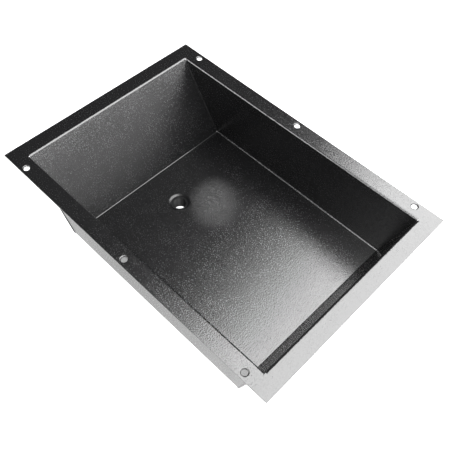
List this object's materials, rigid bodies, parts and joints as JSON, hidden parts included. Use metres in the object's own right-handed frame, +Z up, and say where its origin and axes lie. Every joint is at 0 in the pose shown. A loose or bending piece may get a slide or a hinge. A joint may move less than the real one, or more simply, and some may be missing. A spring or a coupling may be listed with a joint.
{
  "type": "oil drain pan",
  "caption": "Welded sheet-steel drain pan with a flat bolted flange all round, a gentle ramp end, a steep end and a threaded drain coupling in the floor.",
  "frame": {"origin": "middle of the opening and of the bolt hole pattern, level with the underside of the flange, where the pan seats on what holds it", "axes": "+X along the length towards the steep end, +Y to the left side, +Z up out of the tray"},
  "size_m": [0.508, 0.3556, 0.139],
  "materials": {
    "panel_coat": "fine textured semi-gloss black powder coat on sheet steel",
    "weld_coat": "the same black powder coat over rippled weld beads",
    "coupling_coat": "the same black powder coat over a machined steel coupling"
  },
  "bodies": {
    "root": {"channel_sheet": "panel_coat", "drain_coupling": "coupling_coat", "drain_coupling_weld": "weld_coat", "ramp_end_panel": "panel_coat", "ramp_floor_weld": "weld_coat", "ramp_left_corner_weld": "weld_coat", "ramp_left_flange_weld": "weld_coat", "ramp_right_corner_weld": "weld_coat", "ramp_right_flange_weld": "weld_coat", "steep_end_panel": "panel_coat", "steep_floor_weld": "weld_coat", "steep_left_corner_weld": "weld_coat", "steep_left_flange_weld": "weld_coat", "steep_right_corner_weld": "weld_coat", "steep_right_flange_weld": "weld_coat"}
  },
  "joints": []
}
